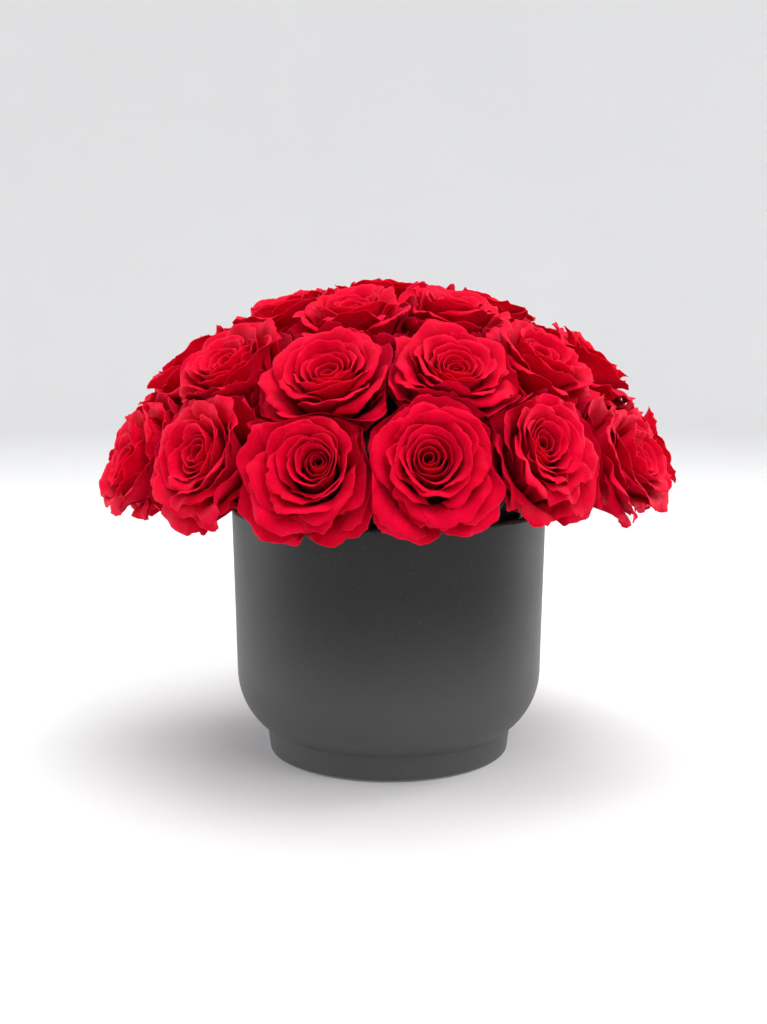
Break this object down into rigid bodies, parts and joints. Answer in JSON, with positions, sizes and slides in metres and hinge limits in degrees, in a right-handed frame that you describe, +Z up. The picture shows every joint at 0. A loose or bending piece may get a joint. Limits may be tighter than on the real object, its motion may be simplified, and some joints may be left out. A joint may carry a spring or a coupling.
{
  "type": "flower box",
  "caption": "Round footed ceramic pot holding a dome of preserved red roses on picks in dry floral foam, which lifts out whole.",
  "frame": {"origin": "centre of the pot's foot, on the pot's axis, at the level that the foot stands on", "axes": "+Z up out of the pot along its axis, -Y towards the front"},
  "size_m": [0.2806, 0.2784, 0.243],
  "materials": {
    "pot_ceramic": "satin",
    "floral_foam": "matte",
    "rose_petals": "matte",
    "rose_calyx": "matte",
    "wooden_pick": "matte"
  },
  "bodies": {
    "pot": {"pot": "pot_ceramic"},
    "arrangement": {"calyxes_row1": "rose_calyx", "calyxes_row2": "rose_calyx", "calyxes_row3": "rose_calyx", "calyxes_top": "rose_calyx", "foam_base": "floral_foam", "foam_dome": "floral_foam", "picks_row1": "wooden_pick", "picks_row2": "wooden_pick", "picks_row3": "wooden_pick", "picks_top": "wooden_pick", "rose_row1_01": "rose_petals", "rose_row1_02": "rose_petals", "rose_row1_03": "rose_petals", "rose_row1_04": "rose_petals", "rose_row1_05": "rose_petals", "rose_row1_06": "rose_petals", "rose_row2_01": "rose_petals", "rose_row2_02": "rose_petals", "rose_row2_03": "rose_petals", "rose_row2_04": "rose_petals", "rose_row2_05": "rose_petals", "rose_row2_06": "rose_petals", "rose_row2_07": "rose_petals", "rose_row2_08": "rose_petals", "rose_row2_09": "rose_petals", "rose_row2_10": "rose_petals", "rose_row2_11": "rose_petals", "rose_row3_01": "rose_petals", "rose_row3_02": "rose_petals", "rose_row3_03": "rose_petals", "rose_row3_04": "rose_petals", "rose_row3_05": "rose_petals", "rose_row3_06": "rose_petals", "rose_row3_07": "rose_petals", "rose_row3_08": "rose_petals", "rose_row3_09": "rose_petals", "rose_row3_10": "rose_petals", "rose_row3_11": "rose_petals", "rose_row3_12": "rose_petals", "rose_row3_13": "rose_petals", "rose_row3_14": "rose_petals", "rose_top": "rose_petals"}
  },
  "joints": [
    {"name": "arrangement_lift", "type": "slide", "parent": "pot", "child": "arrangement", "axis": [0, 0, 1], "range_m": [0, 0.13]}
  ]
}
